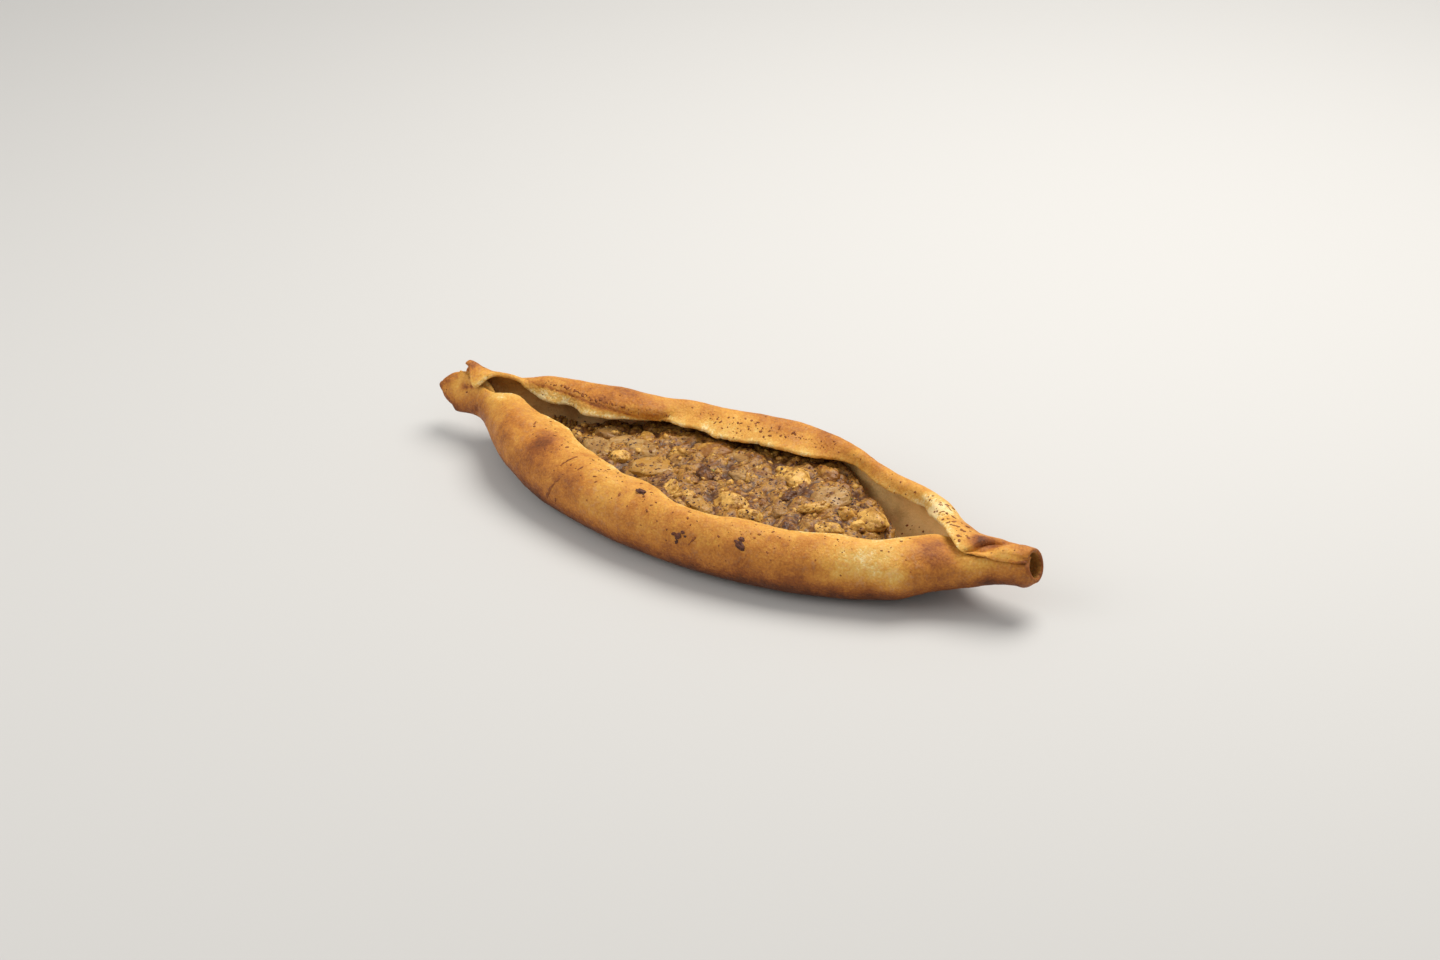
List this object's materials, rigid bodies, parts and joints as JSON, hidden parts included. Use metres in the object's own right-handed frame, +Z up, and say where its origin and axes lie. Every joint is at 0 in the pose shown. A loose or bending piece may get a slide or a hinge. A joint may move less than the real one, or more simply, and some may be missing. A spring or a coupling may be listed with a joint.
{
  "type": "turkish pide",
  "caption": "Boat-shaped baked flatbread with folded-in edges, a pinched end and a rolled end, over an open chopped filling.",
  "frame": {"origin": "middle of the bounding box at the level of the flat underside", "axes": "+X along the pide towards its rolled open end, +Y towards the wall that stands at the back in the picture, +Z up"},
  "size_m": [0.323, 0.1072, 0.0358],
  "materials": {
    "crust": "matte, golden brown baked dough",
    "filling": "matte, moist chopped filling"
  },
  "bodies": {
    "root": {"crust": "crust", "filling": "filling"}
  },
  "joints": []
}
